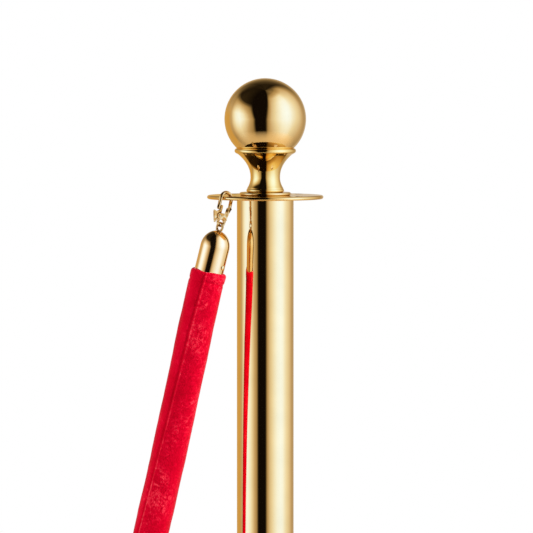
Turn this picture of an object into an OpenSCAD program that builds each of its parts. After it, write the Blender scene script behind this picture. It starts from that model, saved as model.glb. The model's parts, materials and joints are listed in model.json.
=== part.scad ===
// Rope barrier stanchion: a weighted post with a ball finial, a four-hole rope plate,
// and one velvet rope that is hooked into the plate at one end.
// +Z is up, the origin is on the floor under the middle of the post, and all sizes are in mm.

/* [Post] */
// Outside diameter of the post tube
tube_d = 50.8; // [46:0.1:54]
// Wall thickness of the post tube
tube_wall = 1; // [0.8:0.1:1.6]
// Height of the top end of the tube above the floor
post_h = 857.1; // [820:0.1:900]

/* [Rope plate] */
// Outside diameter of the rope plate
plate_d = 104; // [102:0.5:108]
// Thickness of the rope plate
plate_t = 3.4; // [3:0.1:3.6]
// Diameter of each of the four rope holes
hole_d = 11; // [10.8:0.1:11.4]

/* [Finial] */
// Diameter of the ball
ball_d = 73; // [72:0.5:74]
// Diameter of the bead round the top of the neck
neck_lip_d = 55; // [54:0.5:57]
// Diameter of the neck at its waist
neck_waist_d = 26.4; // [24:0.2:30]

/* [Base] */
// Outside diameter of the base
base_d = 320; // [300:1:330]
// Height of the middle of the base cover above the floor
base_h = 42; // [38:1:50]

/* [Rope] */
// Diameter of the velvet rope
rope_d = 31.4; // [29:0.2:31.4]
// Outside diameter of the metal caps on the rope's ends
cap_d = 26; // [24:0.5:27]
// Length of the caps that shows beyond the rope
cap_len = 38.5; // [35:0.5:40]

/* [Hidden] */
$fn = 64;
EPS = 0.01;

GOLD = "#d9b45a";
DEEP_GOLD = "#b8903a";
STEEL = "#8d9196";
IRON = "#4a4a4c";
RUBBER = "#1d1d1f";
VELVET = "#c8102e";
COTTON = "#e6e0d2";
WOOD = "#b58a5a";

// Post and its fastenings
tube_r = tube_d / 2;
bore_r = tube_r - tube_wall;
tube_foot_z = 30;
top_plug_h = 24;
foot_plug_h = 32;
bolt_r = 6;
stud_r = 5;
close_fit = 0.05;
stud_free = 0.3;
thread_grip = 12;

// Base
base_r = base_d / 2;
foot_t = 4;
foot_w = 20;
foot_inset = 2;
groove_w = 4;
groove_d = 1;
cover_t = 1;
cover_free = 0.3;
cover_width_power = 0.9;
cover_rise_power = 1.25;
rim_z = 3;
shoulder_z = 11;
weight_r = base_r - 7;
recess_r = 34;
recess_h = 18.5;
bolt_free = 0.5;
bolt_grip = 22;
bolt_head_r = 10.5;
bolt_head_h = 7.5;
base_washer_r = 28;
base_washer_t = 3;
collar_r = 35;
collar_h = 12;
collar_step = 3;
collar_lip_h = 3.4;
collar_shoulder = 5;
collar_bead_r = 2.6;
collar_cove_r = 3.4;
collar_cove_z = 6.4;

// Rope plate
plate_r = plate_d / 2;
plate_top = post_h + plate_t;
hole_r = hole_d / 2;
hole_ring_r = plate_r - 12.5;
hole_count = 4;
first_hole_az = 45;

// Finial: heights are above the top of the seat washer
washer_r = 23;
washer_t = 2.7;
seat_z = plate_top + washer_t;
neck_foot_r = 16.9;
foot_bead_r = 1.6;
neck_from_z = 2.5;
neck_waist_z = 13;
lip_z = 37;
lip_bead_r = 2.3;
lip_seat = 1.4;
ball_r = ball_d / 2;
ball_wall = 1;
ball_z = seat_z + 65.4;
ball_gap = 0.04;
nut_af = 17;
nut_h = 8;

// Snap hook, in its own frame: +X is the gate side, +Z points from the eye to the arch,
// the origin is the middle of the arch
arch_r = 6.1;
wire_r = 1.6;
nose_z = -9;
spine_z = -6.6;
eye_z = -21;
eye_rim_r = 4.3;
eye_hole_r = 2.8;
eye_t = 2.6;
body_t = 4.2;
pivot = [4.3, -16.2];
pivot_boss_r = 2.5;
pin_r = 0.75;
pin_head_r = 1.15;
pin_head_h = 0.35;
slot_t = 2.2;
slot_r = 2.35;
tongue_t = 2;
tongue_r = 2.1;
arm_t = 2.4;
spring_z = -14.9;
spring_r = 0.62;
spring_wire = 0.16;
spring_hole_r = 0.95;
spring_from = -3.4;
spring_to = 2.28;
spring_turns = 7;
spring_steps = 10;
spring_sides = 5;

// Swivel eye, in the frame of a cap: the origin is the top of the dome, +Z points out of it
ring_r = 3.7;
ring_wire_r = 1.1;
ring_mid_z = 3.5;
collar_eye_r = 3;
collar_eye_h = 0.9;
collar_gap = 0.1;
shank_r = 1.5;
rivet_r = 3;
rivet_h = 1.8;
rivet_drop = 0.5;
eye_play = 0.8;

// End caps
cap_r = cap_d / 2;
cap_wall = 1;
shank_len = collar_gap + cap_wall + rivet_drop + rivet_h + 0.2;
dome_h = 15;
dome_end = 84;
plug_top_z = -17;
screw_z = 7.5 - cap_len;
screw_az = -31;
screw_r = 1;
screw_len = 9;
screw_seat = 0.05;
screw_head_r = 2.3;
screw_head_h = 1.3;

// Rope
rope_r = rope_d / 2;
rope_sides = 10;
pile_t = 2.2;
filling_gap = 0.1;

// Hooked end: the arch rests on the plate between a hole and the rim
hook_az = 220;
hook_tilt = 16;
arch_ring_r = plate_r - 3.88;
arch_az = 223.4;
arch_drop = 2.6;
cap_tilt = 13.8;
arch_a = [arch_ring_r * cos(arch_az), arch_ring_r * sin(arch_az), plate_top - arch_drop];
hook_up = [
    -sin(hook_tilt) * cos(hook_az),
    -sin(hook_tilt) * sin(hook_az),
    cos(hook_tilt)
];
cap_up = [sin(cap_tilt), 0, cos(cap_tilt)];
wire_a = arch_a + (eye_z - eye_play) * hook_up;
apex_a = wire_a - (ring_mid_z + ring_r) * cap_up;
mouth_a = apex_a - cap_len * cap_up;

// Free end: cap and hook lie on the floor beside the base and point along -Y
cap_dip = 6;
hook_dip = 19;
mouth_b = [200, 0, 16];
cap_out = [0, -cos(cap_dip), -sin(cap_dip)];
hook_out = [0, -cos(hook_dip), -sin(hook_dip)];
apex_b = mouth_b + cap_len * cap_out;
wire_b = apex_b + (ring_mid_z + ring_r) * cap_out;
arch_b = wire_b - (eye_z - eye_play) * hook_out;

// Route of the middle of the rope: down from the hooked end, then round the back of the base
hanging_points = [
    [-50.5, -36.9, 792.6], [-55, -36.4, 774], [-60.5, -33, 750], [-71, -25, 700],
    [-81.8, -17.5, 650], [-92.8, -11, 600], [-104.2, -5.5, 550], [-116, -0.5, 500],
    [-128.5, 4, 450], [-141, 8.5, 400], [-153.5, 13.5, 350], [-165.5, 19.5, 300],
    [-176.5, 26.5, 250], [-186, 34.5, 200], [-193.5, 43.5, 150], [-198, 53, 110],
    [-198.5, 62, 82], [-194.5, 74, 58], [-186.5, 90, 38.5], [-175, 109.5, 24.5],
    [-160, 130, 17.5]
];
lying_points = [
    [-142, 149.5, 16], [-121.5, 167, 16], [-97.5, 182, 16], [-71, 193.5, 16],
    [-42, 201, 16], [-12, 204.5, 16], [18, 203.5, 16], [48, 198, 16],
    [77, 188, 16], [104.5, 173.5, 16], [129.5, 155, 16], [151.5, 132.5, 16],
    [170, 107.5, 16], [184, 80.5, 16], [193.5, 52.5, 16], [198.5, 26, 16],
    [200, 0, 16]
];
rope_points = concat(hanging_points, lying_points);
ring_step = 0.5;

// The route's heights and its hooked end follow the post and the plate when they change
route_top = hanging_points[0];
route_floor = mouth_b[2];
function climb(p) = (p[2] - route_floor) / (route_top[2] - route_floor);
function fitted(p) = p + climb(p) * (mouth_a - route_top);
route = [for (p = rope_points) fitted(p)];
last = len(route) - 1;

// Smooth curve through the route's points: each point's slope is half the step between
// its two neighbours
function at(i) = route[max(0, min(last, i))];
function slope(i) =
    i <= 0 ? -cap_up * norm(at(1) - at(0))
    : i >= last ? cap_out * norm(at(last) - at(last - 1))
    : (at(i + 1) - at(i - 1)) / 2;
function between(i, t) =
    (2 * t^3 - 3 * t^2 + 1) * at(i)
    + (t^3 - 2 * t^2 + t) * slope(i)
    + (3 * t^2 - 2 * t^3) * at(i + 1)
    + (t^3 - t^2) * slope(i + 1);
spine = concat(
    [for (i = [0:last - 1]) for (t = [0:ring_step:1 - EPS]) between(i, t)],
    [at(last)]
);
spine_last = len(spine) - 1;

function unit(v) = v / norm(v);
function along(i) =
    i == 0 ? -cap_up
    : i == spine_last ? cap_out
    : unit(spine[i + 1] - spine[i - 1]);
// The section's first direction is carried along the rope without twist
function carried(i) =
    i == 0 ? [0, 1, 0]
    : let (d = along(i), s = carried(i - 1)) unit(s - (s * d) * d);
side_dirs = [for (i = [0:spine_last]) carried(i)];
function section(i, r) = [
    for (k = [0:rope_sides - 1])
        let (a = 360 * (k + 0.5) / rope_sides, d = along(i), s = side_dirs[i])
            spine[i] + r * (cos(a) * s + sin(a) * cross(d, s))
];

// Side faces between neighbouring sections, for points numbered from a first index
function skin(first, n, inward) = [
    for (i = [0:spine_last - 1]) for (k = [0:n - 1])
        let (m = (k + 1) % n, a = first + i * n, b = a + n)
            each inward
                ? [[a + k, a + m, b + k], [a + m, b + m, b + k]]
                : [[a + k, b + k, a + m], [a + m, b + k, b + m]]
];

module swept_rod(r) {
    n = rope_sides;
    points = [for (i = [0:spine_last]) each section(i, r)];
    start = [[for (k = [0:n - 1]) k]];
    end = [[for (k = [0:n - 1]) spine_last * n + n - 1 - k]];
    polyhedron(points, concat(skin(0, n, false), start, end));
}

module swept_tube(r_out, r_in) {
    n = rope_sides;
    inner = (spine_last + 1) * n;
    points = concat(
        [for (i = [0:spine_last]) each section(i, r_out)],
        [for (i = [0:spine_last]) each section(i, r_in)]
    );
    start = [for (k = [0:n - 1]) let (m = (k + 1) % n) [k, m, inner + m, inner + k]];
    e = spine_last * n;
    end = [for (k = [0:n - 1]) let (m = (k + 1) % n) [e + k, e + inner + k, e + inner + m, e + m]];
    polyhedron(points, concat(skin(0, n, false), skin(inner, n, true), start, end));
}

// ---- placing ----

module on_cap_a() { translate(apex_a) rotate([0, cap_tilt, 0]) children(); }
module on_cap_b() { translate(apex_b) rotate([90 + cap_dip, 0, 0]) children(); }
module on_hook_a() { translate(arch_a) rotate([0, -hook_tilt, hook_az]) children(); }
module on_hook_b() { translate(arch_b) rotate([90 + hook_dip, 0, 0]) children(); }
module at_pivot() { translate([pivot[0], 0, pivot[1]]) rotate([90, 0, 0]) children(); }

// A flat shape drawn in X and Z, centred on the hook's middle plane
module slab(t) { rotate([90, 0, 0]) linear_extrude(height = t, center = true) children(); }

// A round bar of the hook that runs straight down from one end of the arch
module leg(x, foot) {
    translate([x, 0, foot]) cylinder(r = wire_r, h = -foot);
}

// ---- base ----

module floor_ring() {
    color(RUBBER) rotate_extrude() difference() {
        translate([base_r - foot_inset - foot_w, 0]) square([foot_w, foot_t]);
        translate([base_r - foot_inset - (foot_w + groove_w) / 2, -EPS]) square([groove_w, groove_d]);
    }
}

module base_weight() {
    top_flat_r = tube_r + 20;
    color(IRON) difference() {
        rotate_extrude() polygon([
            [0, foot_t], [weight_r, foot_t], [weight_r, shoulder_z - 2],
            [weight_r - 14, shoulder_z + 1], [top_flat_r, tube_foot_z], [0, tube_foot_z]
        ]);
        translate([0, 0, foot_t - 1]) cylinder(r = recess_r, h = recess_h - foot_t + 1);
        cylinder(r = bolt_r + bolt_free, h = 3 * tube_foot_z);
    }
}

// Outline of the cover's outer side, from the rim up over the dome to the post
function cover_curve(inset) = [
    for (a = [0:6:90])
        let (s = base_h - shoulder_z - inset, w = base_r - tube_r - inset)
            [tube_r + w * pow(cos(a), cover_width_power), shoulder_z + s * pow(sin(a), cover_rise_power)]
];

module base_cover() {
    outer = concat([[base_r, rim_z]], cover_curve(0));
    inner = concat([[base_r - cover_t, rim_z]], cover_curve(cover_t));
    color(GOLD) difference() {
        rotate_extrude() polygon(concat([[0, rim_z]], outer, [[0, base_h]]));
        rotate_extrude() polygon(concat(
            [[0, rim_z - 1], [base_r - cover_t, rim_z - 1]], inner, [[0, base_h - cover_t]]
        ));
        cylinder(r = tube_r + cover_free, h = 2 * base_h);
    }
}

module base_collar() {
    bore = tube_r + close_fit;
    color(GOLD) translate([0, 0, base_h]) rotate_extrude() difference() {
        union() {
            translate([bore, 0]) square([collar_r - bore - 2, collar_h - collar_step]);
            translate([bore, 0]) square([collar_r - bore, collar_lip_h]);
            translate([bore, 0]) square([collar_r - bore - collar_shoulder, collar_h]);
            translate([collar_r - collar_shoulder, collar_h - collar_step]) circle(r = collar_bead_r);
        }
        translate([collar_r + 0.6, collar_cove_z]) circle(r = collar_cove_r);
    }
}

module base_bolt() {
    head_top = recess_h - base_washer_t;
    color(STEEL) {
        translate([0, 0, head_top - bolt_head_h]) cylinder(r = bolt_head_r, h = bolt_head_h, $fn = 6);
        translate([0, 0, head_top - EPS]) cylinder(r = bolt_r, h = tube_foot_z + bolt_grip - head_top);
    }
}

module base_washer() {
    color(STEEL) translate([0, 0, recess_h - base_washer_t]) difference() {
        cylinder(r = base_washer_r, h = base_washer_t);
        translate([0, 0, -1]) cylinder(r = bolt_r + bolt_free, h = base_washer_t + 2);
    }
}

// ---- post ----

module tube_foot_plug() {
    color(STEEL) translate([0, 0, tube_foot_z]) difference() {
        cylinder(r = bore_r, h = foot_plug_h);
        translate([0, 0, -1]) cylinder(r = bolt_r + close_fit, h = foot_plug_h + 2);
    }
}

module post_tube() {
    color(GOLD) translate([0, 0, tube_foot_z]) difference() {
        cylinder(r = tube_r, h = post_h - tube_foot_z);
        translate([0, 0, -1]) cylinder(r = bore_r, h = post_h);
    }
}

module tube_top_plug() {
    color(STEEL) translate([0, 0, post_h - top_plug_h]) difference() {
        cylinder(r = bore_r, h = top_plug_h);
        translate([0, 0, -1]) cylinder(r = stud_r + close_fit, h = top_plug_h + 2);
    }
}

module rope_plate() {
    color(GOLD) translate([0, 0, post_h]) difference() {
        rotate_extrude() {
            square([plate_r - plate_t / 2, plate_t]);
            translate([plate_r - plate_t / 2, plate_t / 2]) circle(r = plate_t / 2);
        }
        translate([0, 0, -1]) cylinder(r = stud_r + stud_free, h = plate_t + 2);
        for (k = [0:hole_count - 1])
            rotate([0, 0, first_hole_az + 360 * k / hole_count])
                translate([hole_ring_r, 0, -1])
                    cylinder(r = hole_r, h = plate_t + 2);
    }
}

// ---- finial ----

module seat_washer() {
    round_r = washer_t / 2;
    color(GOLD) translate([0, 0, plate_top]) difference() {
        rotate_extrude() {
            square([washer_r - round_r, washer_t]);
            translate([washer_r - round_r, round_r]) circle(r = round_r);
        }
        translate([0, 0, -1]) cylinder(r = stud_r + stud_free, h = washer_t + 2);
    }
}

// Radius of the neck at height z above the seat washer, from the foot bead up to the lip
function neck_r(z) =
    let (waist_r = neck_waist_d / 2, lip_r = neck_lip_d / 2 - 2)
    z < neck_waist_z
        ? waist_r + (neck_foot_r - waist_r) * pow((neck_waist_z - z) / (neck_waist_z - neck_from_z), 2)
        : waist_r + (lip_r - waist_r) * pow((z - neck_waist_z) / (lip_z - 2 - neck_waist_z), 2.2);

module finial_neck() {
    lip_r = neck_lip_d / 2;
    curve = [for (z = [neck_from_z:1.25:lip_z - 2]) [neck_r(z), z]];
    color(GOLD) translate([0, 0, seat_z]) difference() {
        union() {
            rotate_extrude() polygon(concat(
                [[0, 0], [neck_foot_r - foot_bead_r / 2, 0]], curve,
                [[lip_r - lip_bead_r, lip_z + lip_seat], [0, lip_z + lip_seat]]
            ));
            rotate_extrude() translate([neck_foot_r - foot_bead_r, foot_bead_r]) circle(r = foot_bead_r);
            rotate_extrude() translate([lip_r - lip_bead_r, lip_z]) circle(r = lip_bead_r);
        }
        translate([0, 0, ball_z - seat_z]) sphere(r = ball_r + ball_gap);
        translate([0, 0, -1]) cylinder(r = stud_r + close_fit, h = lip_z);
    }
}

module finial_ball() {
    color(GOLD) translate([0, 0, ball_z]) difference() {
        sphere(r = ball_r);
        sphere(r = ball_r - ball_wall);
        translate([0, 0, -ball_d]) cylinder(r = stud_r + close_fit, h = ball_d);
    }
}

module finial_stud() {
    top = ball_z - ball_r + ball_wall + nut_h + 3;
    foot = post_h - thread_grip;
    color(STEEL) translate([0, 0, foot]) cylinder(r = stud_r, h = top - foot);
}

module finial_nut() {
    nut_r = nut_af / 2 / cos(30);
    inner_r = ball_r - ball_wall;
    foot = ball_z - sqrt(inner_r * inner_r - nut_r * nut_r) + 0.02;
    color(STEEL) translate([0, 0, foot]) difference() {
        cylinder(r = nut_r, h = nut_h, $fn = 6);
        translate([0, 0, -1]) cylinder(r = stud_r, h = nut_h + 2);
    }
}

// ---- rope ----

module rope_sleeve() {
    color(VELVET) swept_tube(rope_r, rope_r - pile_t);
}

module rope_filling() {
    color(COTTON) swept_rod(rope_r - pile_t - filling_gap);
}

// ---- end caps, in the frame of a cap ----

// A domed cup of radius r whose dome is h high, open at the foot
module dome(r, h, foot) {
    rise = [for (a = [0:4:dome_end]) [r * cos(a), h * (sin(a) - sin(dome_end))]];
    rotate_extrude() polygon(concat([[0, foot], [r, foot]], rise, [[0, 0]]));
}

module end_cap() {
    color(GOLD) difference() {
        dome(cap_r, dome_h, -cap_len);
        translate([0, 0, -cap_wall]) dome(cap_r - cap_wall, dome_h - cap_wall, -cap_len);
        translate([0, 0, -2 * cap_wall]) cylinder(r = shank_r + close_fit, h = 3 * cap_wall);
        rotate([0, 0, screw_az]) translate([cap_r - 2 * cap_wall, 0, screw_z]) rotate([0, 90, 0])
            cylinder(r = screw_r + close_fit, h = 3 * cap_wall);
    }
}

module cap_plug() {
    color(WOOD) difference() {
        translate([0, 0, -cap_len]) cylinder(r = cap_r - cap_wall, h = cap_len + plug_top_z);
        rotate([0, 0, screw_az]) translate([cap_r - screw_len, 0, screw_z]) rotate([0, 90, 0])
            cylinder(r = screw_r, h = screw_len);
    }
}

module cap_screw() {
    color(GOLD) rotate([0, 0, screw_az]) translate([cap_r - screw_len, 0, screw_z]) rotate([0, 90, 0]) {
        cylinder(r = screw_r, h = screw_len + screw_seat + EPS);
        translate([0, 0, screw_len + screw_seat]) intersection() {
            cylinder(r = screw_head_r, h = screw_head_h);
            translate([0, 0, screw_head_h - 3.6]) sphere(r = 3.6);
        }
    }
}

module swivel_eye() {
    color(DEEP_GOLD) {
        difference() {
            translate([0, 0, ring_mid_z]) rotate([0, 90, 0]) rotate_extrude()
                translate([ring_r, 0]) circle(r = ring_wire_r);
            translate([-ring_r, -ring_r, collar_gap - 2 * ring_r]) cube(2 * ring_r);
        }
        translate([0, 0, collar_gap]) cylinder(r = collar_eye_r, h = collar_eye_h);
        translate([0, 0, collar_gap - shank_len])
            cylinder(r = shank_r, h = shank_len + collar_eye_h / 2);
    }
}

module swivel_rivet() {
    color(STEEL) translate([0, 0, -cap_wall - rivet_drop - rivet_h]) difference() {
        cylinder(r = rivet_r, h = rivet_h);
        translate([0, 0, -1]) cylinder(r = shank_r, h = rivet_h + 2);
    }
}

// ---- snap hook, in the frame of a hook ----

module slot_outline() {
    translate(pivot) circle(r = slot_r);
    polygon([
        [pivot[0] - slot_r, pivot[1]], [-0.7, -11.5], [9, -11.5],
        [9, -19], [6.1, -19], pivot
    ]);
}

module hook_outline() {
    translate([0, eye_z]) circle(r = eye_rim_r);
    translate(pivot) circle(r = pivot_boss_r);
    polygon([
        [-arch_r - wire_r, spine_z], [-arch_r + wire_r, spine_z], [-3.4, -12.8], [3, -13.2],
        [pivot[0], -13.7], [pivot[0] + pivot_boss_r, pivot[1]], [eye_rim_r, eye_z],
        [-eye_rim_r, eye_z], [-4.6, -15.5], [-5.6, -11.5]
    ]);
}

module snap_hook() {
    color(GOLD) difference() {
        union() {
            rotate([90, 0, 0]) rotate_extrude(angle = 180) translate([arch_r, 0]) circle(r = wire_r);
            leg(arch_r, nose_z);
            translate([arch_r, 0, nose_z]) sphere(r = wire_r);
            leg(-arch_r, spine_z - 1.5);
            slab(eye_t) hook_outline();
            slab(body_t) difference() {
                hook_outline();
                translate([-10, eye_z - 7]) square([20, 9.2]);
            }
        }
        slab(2 * body_t) translate([0, eye_z]) circle(r = eye_hole_r);
        slab(slot_t) slot_outline();
        at_pivot() cylinder(r = pin_r, h = 3 * body_t, center = true);
        translate([spring_from, 0, spring_z]) rotate([0, 90, 0])
            cylinder(r = spring_hole_r, h = pivot[0] - spring_from);
    }
}

// Outline of the gate's arm, root and thumb tab, measured from its pin
module gate_outline() {
    circle(r = tongue_r);
    polygon([
        [-2, 0], [-2, 9.6], [-1.4, 10.2], [-0.5, 10.2], [0.05, 9.6], [0.05, 5.6],
        [2.6, 3.9], [4.4, 3.7], [6.1, 4.1], [6.5, 3.3], [4.9, -2], [3.4, -6],
        [2.6, -6.4], [2.3, -5.6], [2.6, -2.2], [1.2, -1.7], [0, 0]
    ]);
}

module hook_gate() {
    color(DEEP_GOLD) difference() {
        translate([pivot[0], 0, pivot[1]]) {
            slab(tongue_t) gate_outline();
            slab(arm_t) intersection() {
                gate_outline();
                translate([-3, 6]) square([4, 5]);
            }
        }
        at_pivot() cylinder(r = pin_r + close_fit, h = 3 * body_t, center = true);
    }
}

module gate_pin() {
    color(STEEL) at_pivot() {
        cylinder(r = pin_r, h = body_t, center = true);
        for (s = [0, 1]) mirror([0, 0, s])
            translate([0, 0, body_t / 2]) cylinder(r = pin_head_r, h = pin_head_h);
    }
}

module gate_spring() {
    n = spring_sides;
    total = spring_turns * spring_steps;
    pitch = (spring_to - spring_from - 2 * spring_wire) / total;
    points = [
        for (i = [0:total]) for (k = [0:n - 1])
            let (turn = 360 * i / spring_steps, a = 360 * k / n, r = spring_r + spring_wire * cos(a))
                [spring_from + spring_wire + pitch * i + spring_wire * sin(a), r * cos(turn), r * sin(turn)]
    ];
    walls = [
        for (i = [0:total - 1]) for (k = [0:n - 1])
            let (m = (k + 1) % n) each [
                [i * n + k, i * n + m, (i + 1) * n + k],
                [i * n + m, (i + 1) * n + m, (i + 1) * n + k]
            ]
    ];
    start = [[for (k = [0:n - 1]) n - 1 - k]];
    end = [[for (k = [0:n - 1]) total * n + k]];
    color(STEEL) translate([0, 0, spring_z]) polyhedron(points, concat(walls, start, end));
}

// ---- nodes ----

floor_ring();
base_weight();
base_cover();
base_collar();
base_bolt();
base_washer();
tube_foot_plug();
post_tube();
tube_top_plug();
rope_plate();
seat_washer();
finial_neck();
finial_ball();
finial_stud();
finial_nut();
rope_sleeve();
rope_filling();
on_cap_a() end_cap();  // end_cap_a
on_cap_a() cap_plug();  // cap_plug_a
on_cap_a() cap_screw();  // cap_screw_a
on_cap_a() rotate([0, 0, hook_az]) swivel_eye();  // swivel_eye_a
on_cap_a() swivel_rivet();  // swivel_rivet_a
on_hook_a() snap_hook();  // snap_hook_a
on_hook_a() hook_gate();  // hook_gate_a
on_hook_a() gate_pin();  // gate_pin_a
on_hook_a() gate_spring();  // gate_spring_a
on_cap_b() end_cap();  // end_cap_b
on_cap_b() cap_plug();  // cap_plug_b
on_cap_b() cap_screw();  // cap_screw_b
on_cap_b() swivel_eye();  // swivel_eye_b
on_cap_b() swivel_rivet();  // swivel_rivet_b
on_hook_b() snap_hook();  // snap_hook_b
on_hook_b() hook_gate();  // hook_gate_b
on_hook_b() gate_pin();  // gate_pin_b
on_hook_b() gate_spring();  // gate_spring_b
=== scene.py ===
import json
import math

import bmesh
import bpy
from mathutils import Matrix, Vector, noise


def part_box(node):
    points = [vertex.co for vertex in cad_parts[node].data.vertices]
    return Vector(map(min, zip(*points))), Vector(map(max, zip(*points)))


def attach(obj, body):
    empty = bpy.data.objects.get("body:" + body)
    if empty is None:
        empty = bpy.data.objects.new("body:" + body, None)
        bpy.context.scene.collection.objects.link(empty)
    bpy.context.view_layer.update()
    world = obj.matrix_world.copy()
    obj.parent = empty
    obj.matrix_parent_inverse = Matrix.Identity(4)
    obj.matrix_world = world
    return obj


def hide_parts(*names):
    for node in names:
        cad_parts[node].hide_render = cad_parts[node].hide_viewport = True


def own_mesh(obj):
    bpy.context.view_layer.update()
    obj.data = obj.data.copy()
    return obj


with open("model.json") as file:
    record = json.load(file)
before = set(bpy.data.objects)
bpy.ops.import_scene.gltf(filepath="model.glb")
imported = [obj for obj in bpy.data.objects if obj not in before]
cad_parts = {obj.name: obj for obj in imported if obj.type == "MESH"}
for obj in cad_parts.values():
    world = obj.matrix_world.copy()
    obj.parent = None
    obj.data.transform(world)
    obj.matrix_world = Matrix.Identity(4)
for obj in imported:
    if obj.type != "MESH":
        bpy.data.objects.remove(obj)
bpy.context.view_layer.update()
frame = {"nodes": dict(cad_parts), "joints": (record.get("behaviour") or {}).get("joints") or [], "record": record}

# Looks of the rope barrier stanchion. All sizes are in metres, in the frame of the CAD model.

NODES = frame["nodes"]
JOINTS = {joint["name"]: joint for joint in frame["joints"]}
MOUNTS = {mount["name"]: mount for mount in frame["record"]["mounts"]}
MM = 0.001


# ---- camera ----

VIEW_MIDDLE = Vector((0.0011, 0.0, 0.7966))
VIEW_WIDTH = 0.4769
VIEW_DISTANCE = 7.0
VIEW_DOWN = math.radians(2.6)
VIEW_CLIP_END = 50


def make_camera():
    """A long lens that looks along +Y and slightly down on the top of the post."""
    data = bpy.data.cameras.new("camera")
    camera = bpy.data.objects.new("camera", data)
    bpy.context.scene.collection.objects.link(camera)
    back = Vector((0, -math.cos(VIEW_DOWN), math.sin(VIEW_DOWN)))
    camera.location = VIEW_MIDDLE + VIEW_DISTANCE * back
    camera.rotation_mode = "QUATERNION"
    camera.rotation_quaternion = (-back).to_track_quat("-Z", "Y")
    data.lens = data.sensor_width * VIEW_DISTANCE / VIEW_WIDTH
    data.clip_end = VIEW_CLIP_END
    bpy.context.scene.camera = camera


make_camera()


# ---- frames of the rope's ends ----

# Where a gate's pin sits from the hook's eye, towards the gate side and towards the arch
PIN_SIDE = 4.3 * MM
PIN_RISE = 4.8 * MM


def joint_point(name):
    return Vector(JOINTS[name]["pos_m"])


def joint_axis(name):
    return Vector(JOINTS[name]["axis"]).normalized()


def axes_matrix(x, y, z, origin):
    axes = Matrix((x, y, z)).transposed()
    return Matrix.Translation(origin) @ axes.to_4x4()


def cap_matrix(end):
    """Frame of a cap: origin on top of its dome, +Z out of it, +X as near to world +X as it goes."""
    z = joint_axis(f"eye_{end}_swivel")
    x = (Vector((1, 0, 0)) - z.x * z).normalized()
    return axes_matrix(x, z.cross(x), z, joint_point(f"eye_{end}_swivel"))


def hook_matrix(end):
    """Frame of a hook: origin in its eye, +Z towards the arch, +X towards the gate."""
    eye = joint_point(f"hook_{end}_swing")
    y = -joint_axis(f"gate_{end}_open")
    pin = joint_point(f"gate_{end}_open") - eye
    size = PIN_SIDE * PIN_SIDE + PIN_RISE * PIN_RISE
    x = (PIN_SIDE * pin + PIN_RISE * y.cross(pin)) / size
    return axes_matrix(x, y, x.cross(y), eye)


CAP = {end: cap_matrix(end) for end in "ab"}
HOOK = {end: hook_matrix(end) for end in "ab"}


# ---- mesh tools ----

SHARP_ANGLE = math.radians(40)
ON_AXIS = 1e-7


def link(name, mesh, matrix=None):
    """A new object with this mesh, which is moved into place by the matrix."""
    if matrix is not None:
        mesh.transform(matrix)
    piece = bpy.data.objects.new(name, mesh)
    bpy.context.scene.collection.objects.link(piece)
    return piece


def shade(mesh):
    """Smooth shading, with sharp edges kept where the surface turns quickly."""
    mesh.shade_smooth()
    mesh.set_sharp_from_angle(angle=SHARP_ANGLE)


def even_normals(piece):
    """Large flat faces keep their own direction beside narrow rounded edges."""
    modifier = piece.modifiers.new("even_normals", "WEIGHTED_NORMAL")
    modifier.keep_sharp = True
    modifier.weight = 100


def rounded(corners, steps=6):
    """A closed outline through corners (r, z, radius), with each corner rounded by an arc."""
    outline = []
    count = len(corners)
    for i, (r, z, radius) in enumerate(corners):
        corner = Vector((r, z))
        if radius <= 0:
            outline.append((r, z))
            continue
        before = (Vector(corners[i - 1][:2]) - corner).normalized()
        after = (Vector(corners[(i + 1) % count][:2]) - corner).normalized()
        half = before.angle(after) / 2
        centre = corner + (before + after).normalized() * radius / math.sin(half)
        first = corner + before * radius / math.tan(half) - centre
        last = corner + after * radius / math.tan(half) - centre
        turn = first.angle_signed(last)
        for k in range(steps + 1):
            a = -turn * k / steps
            c, s = math.cos(a), math.sin(a)
            r_on_arc = centre.x + first.x * c - first.y * s
            z_on_arc = centre.y + first.x * s + first.y * c
            outline.append((r_on_arc, z_on_arc))
    return outline


def arc(centre_r, centre_z, radius, start, end, steps=12):
    """Points of an arc in the (r, z) plane; the angles are in degrees from +r towards +z."""
    points = []
    for k in range(steps + 1):
        a = math.radians(start + (end - start) * k / steps)
        points.append((centre_r + radius * math.cos(a), centre_z + radius * math.sin(a)))
    return points


def lathe(name, outline, sides, matrix=None):
    """A turned piece: the outline of (r, z) points goes round the Z axis of the matrix."""
    vertices, rings = [], []
    for r, z in outline:
        if r < ON_AXIS:
            rings.append([len(vertices)] * sides)
            vertices.append((0, 0, z))
            continue
        rings.append([len(vertices) + k for k in range(sides)])
        for k in range(sides):
            a = 2 * math.pi * k / sides
            vertices.append((r * math.cos(a), r * math.sin(a), z))
    faces = []
    for low, high in zip(rings, rings[1:] + rings[:1]):
        for k in range(sides):
            m = (k + 1) % sides
            corners = list(dict.fromkeys((low[k], low[m], high[m], high[k])))
            if len(corners) > 2:
                faces.append(corners)
    mesh = bpy.data.meshes.new(name)
    mesh.from_pydata(vertices, [], faces)
    shaped = bmesh.new()
    shaped.from_mesh(mesh)
    bmesh.ops.recalc_face_normals(shaped, faces=shaped.faces)
    shaped.to_mesh(mesh)
    shaped.free()
    shade(mesh)
    piece = link(name, mesh, matrix)
    even_normals(piece)
    return piece


def settled(piece):
    """Applies the modifiers of a piece to its mesh."""
    shown = piece.evaluated_get(bpy.context.evaluated_depsgraph_get())
    mesh = bpy.data.meshes.new_from_object(shown)
    piece.modifiers.clear()
    piece.data = mesh
    return piece


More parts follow.
